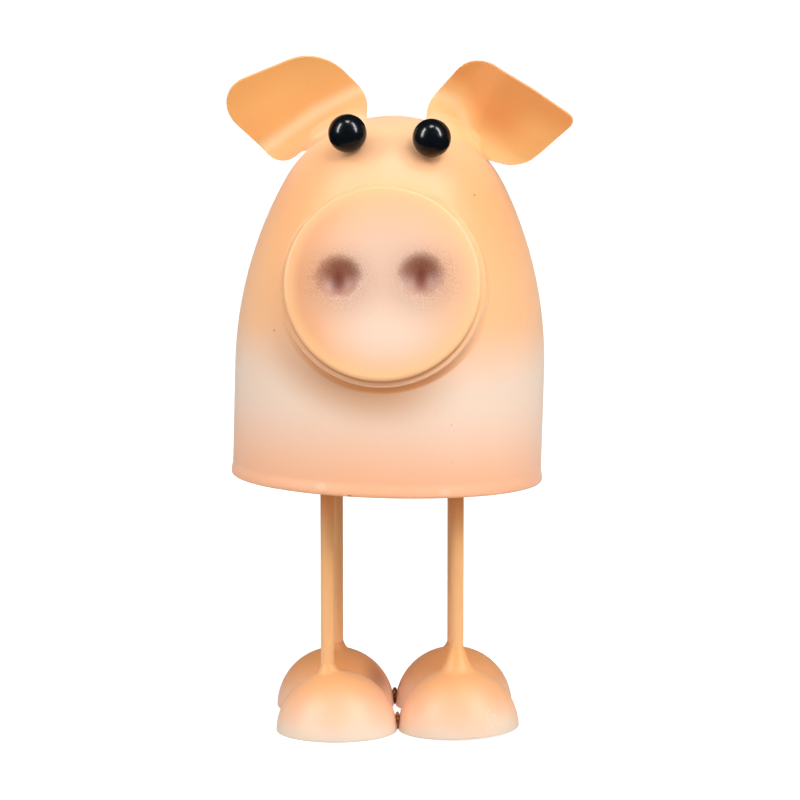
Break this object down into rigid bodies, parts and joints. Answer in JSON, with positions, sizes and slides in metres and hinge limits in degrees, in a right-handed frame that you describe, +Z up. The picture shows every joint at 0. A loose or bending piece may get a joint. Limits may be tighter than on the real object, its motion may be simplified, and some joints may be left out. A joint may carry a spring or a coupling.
{
  "type": "pig figurine",
  "caption": "Standing pig figurine of painted sheet steel with a domed body, round snout, bent leaf ears and four rod legs on half-ball feet.",
  "frame": {"origin": "on the floor, under the middle of the figure's box", "axes": "+Z up through the top of the head, -Y towards the side that the face looks to, +X to the viewer's right when facing the snout"},
  "size_m": [0.1272, 0.137, 0.2493],
  "materials": {
    "body_paint": "satin",
    "snout_paint": "satin",
    "ear_paint": "satin",
    "leg_paint": "satin",
    "foot_paint": "satin",
    "eye_gloss": "gloss",
    "bare_steel": "satin",
    "weld": "rough"
  },
  "bodies": {
    "root": {"body_shell": "body_paint", "base_plate": "bare_steel", "snout_collar": "body_paint", "snout_cap": "snout_paint", "ear_left": "ear_paint", "ear_right": "ear_paint", "eye_left": "eye_gloss", "eye_right": "eye_gloss", "eye_pin_left": "bare_steel", "eye_pin_right": "bare_steel", "tail": "leg_paint", "leg_front_left": "leg_paint", "leg_front_right": "leg_paint", "leg_rear_left": "leg_paint", "leg_rear_right": "leg_paint", "foot_front_left": "foot_paint", "foot_front_right": "foot_paint", "foot_rear_left": "foot_paint", "foot_rear_right": "foot_paint", "foot_tack_front": "weld", "foot_tack_rear": "weld", "foot_tack_left": "weld", "foot_tack_right": "weld"}
  },
  "joints": []
}
